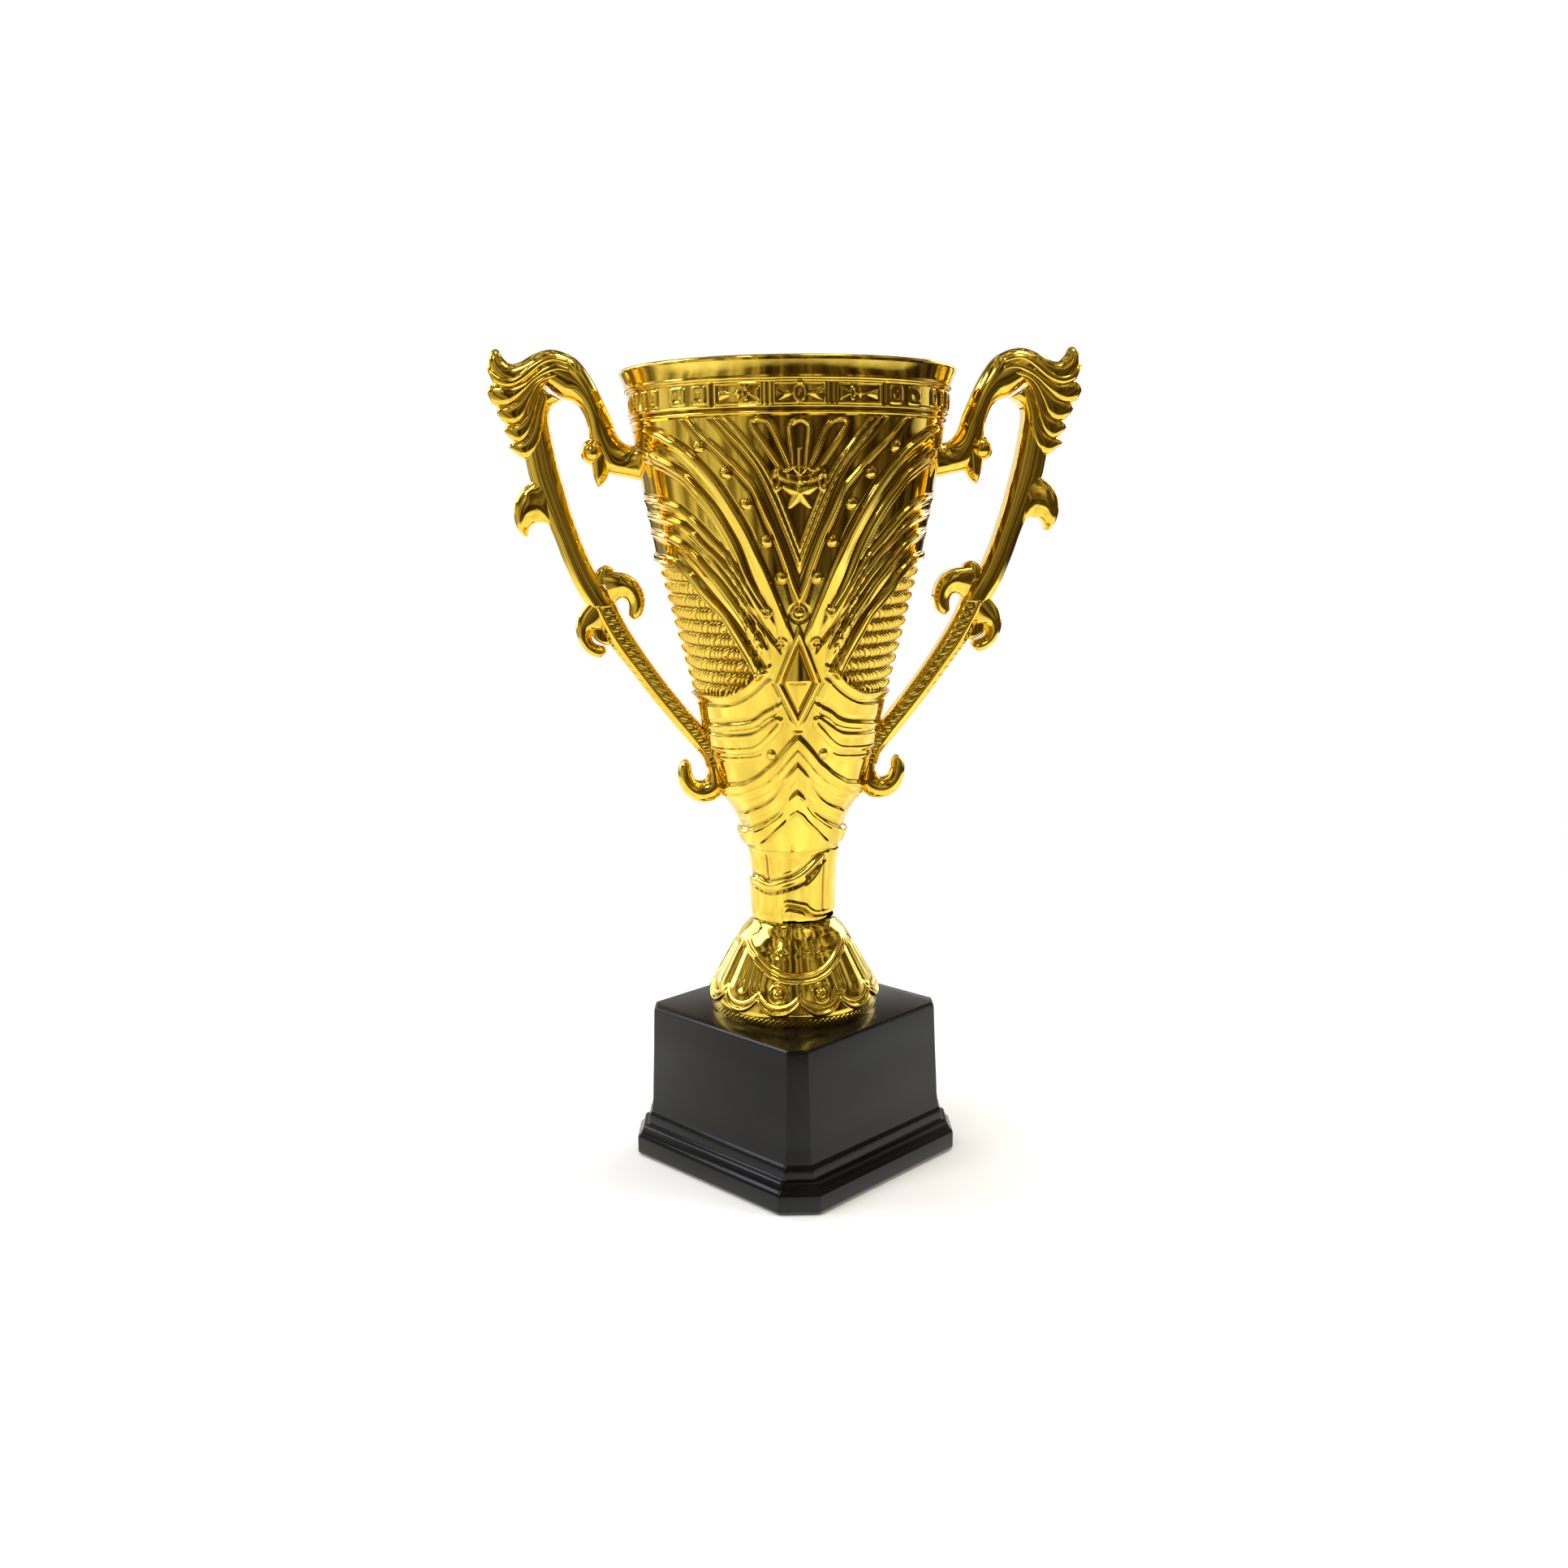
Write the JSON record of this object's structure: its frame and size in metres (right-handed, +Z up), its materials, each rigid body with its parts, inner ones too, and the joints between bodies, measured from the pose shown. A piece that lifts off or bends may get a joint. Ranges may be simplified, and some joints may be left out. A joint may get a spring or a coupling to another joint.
{
  "type": "cup trophy",
  "caption": "Gold-plated two-handled award cup with a relief-patterned bowl, a flared foot and a square black moulded plinth.",
  "frame": {"origin": "centre of the underside, on the surface the trophy stands on", "axes": "+Z up along the cup's axis; the two handles lie along X; the front of the pattern faces -Y"},
  "size_m": [0.192, 0.111, 0.273],
  "materials": {
    "gold_plating": "mirror-bright yellow-gold vacuum plating over moulded plastic, under clear lacquer",
    "black_plastic": "satin-gloss black moulded plastic",
    "cast_iron": "as-cast dark grey",
    "zinc_steel": "bright zinc plate",
    "rubber": "matt black rubber"
  },
  "bodies": {
    "root": {"cup_bowl": "gold_plating", "handle_left": "gold_plating", "handle_right": "gold_plating", "stem_sleeve": "gold_plating", "foot_bell": "gold_plating", "plinth_shell": "black_plastic", "bottom_cover": "black_plastic", "ballast_weight": "cast_iron", "tie_rod": "zinc_steel", "bowl_washer": "zinc_steel", "bowl_nut": "zinc_steel", "base_washer": "zinc_steel", "base_nut": "zinc_steel", "handle_screw_left_upper": "zinc_steel", "handle_screw_left_lower": "zinc_steel", "handle_screw_right_upper": "zinc_steel", "handle_screw_right_lower": "zinc_steel", "cover_screw_1": "zinc_steel", "cover_screw_2": "zinc_steel", "cover_screw_3": "zinc_steel", "cover_screw_4": "zinc_steel", "foot_pad_1": "rubber", "foot_pad_2": "rubber", "foot_pad_3": "rubber", "foot_pad_4": "rubber"}
  },
  "joints": []
}
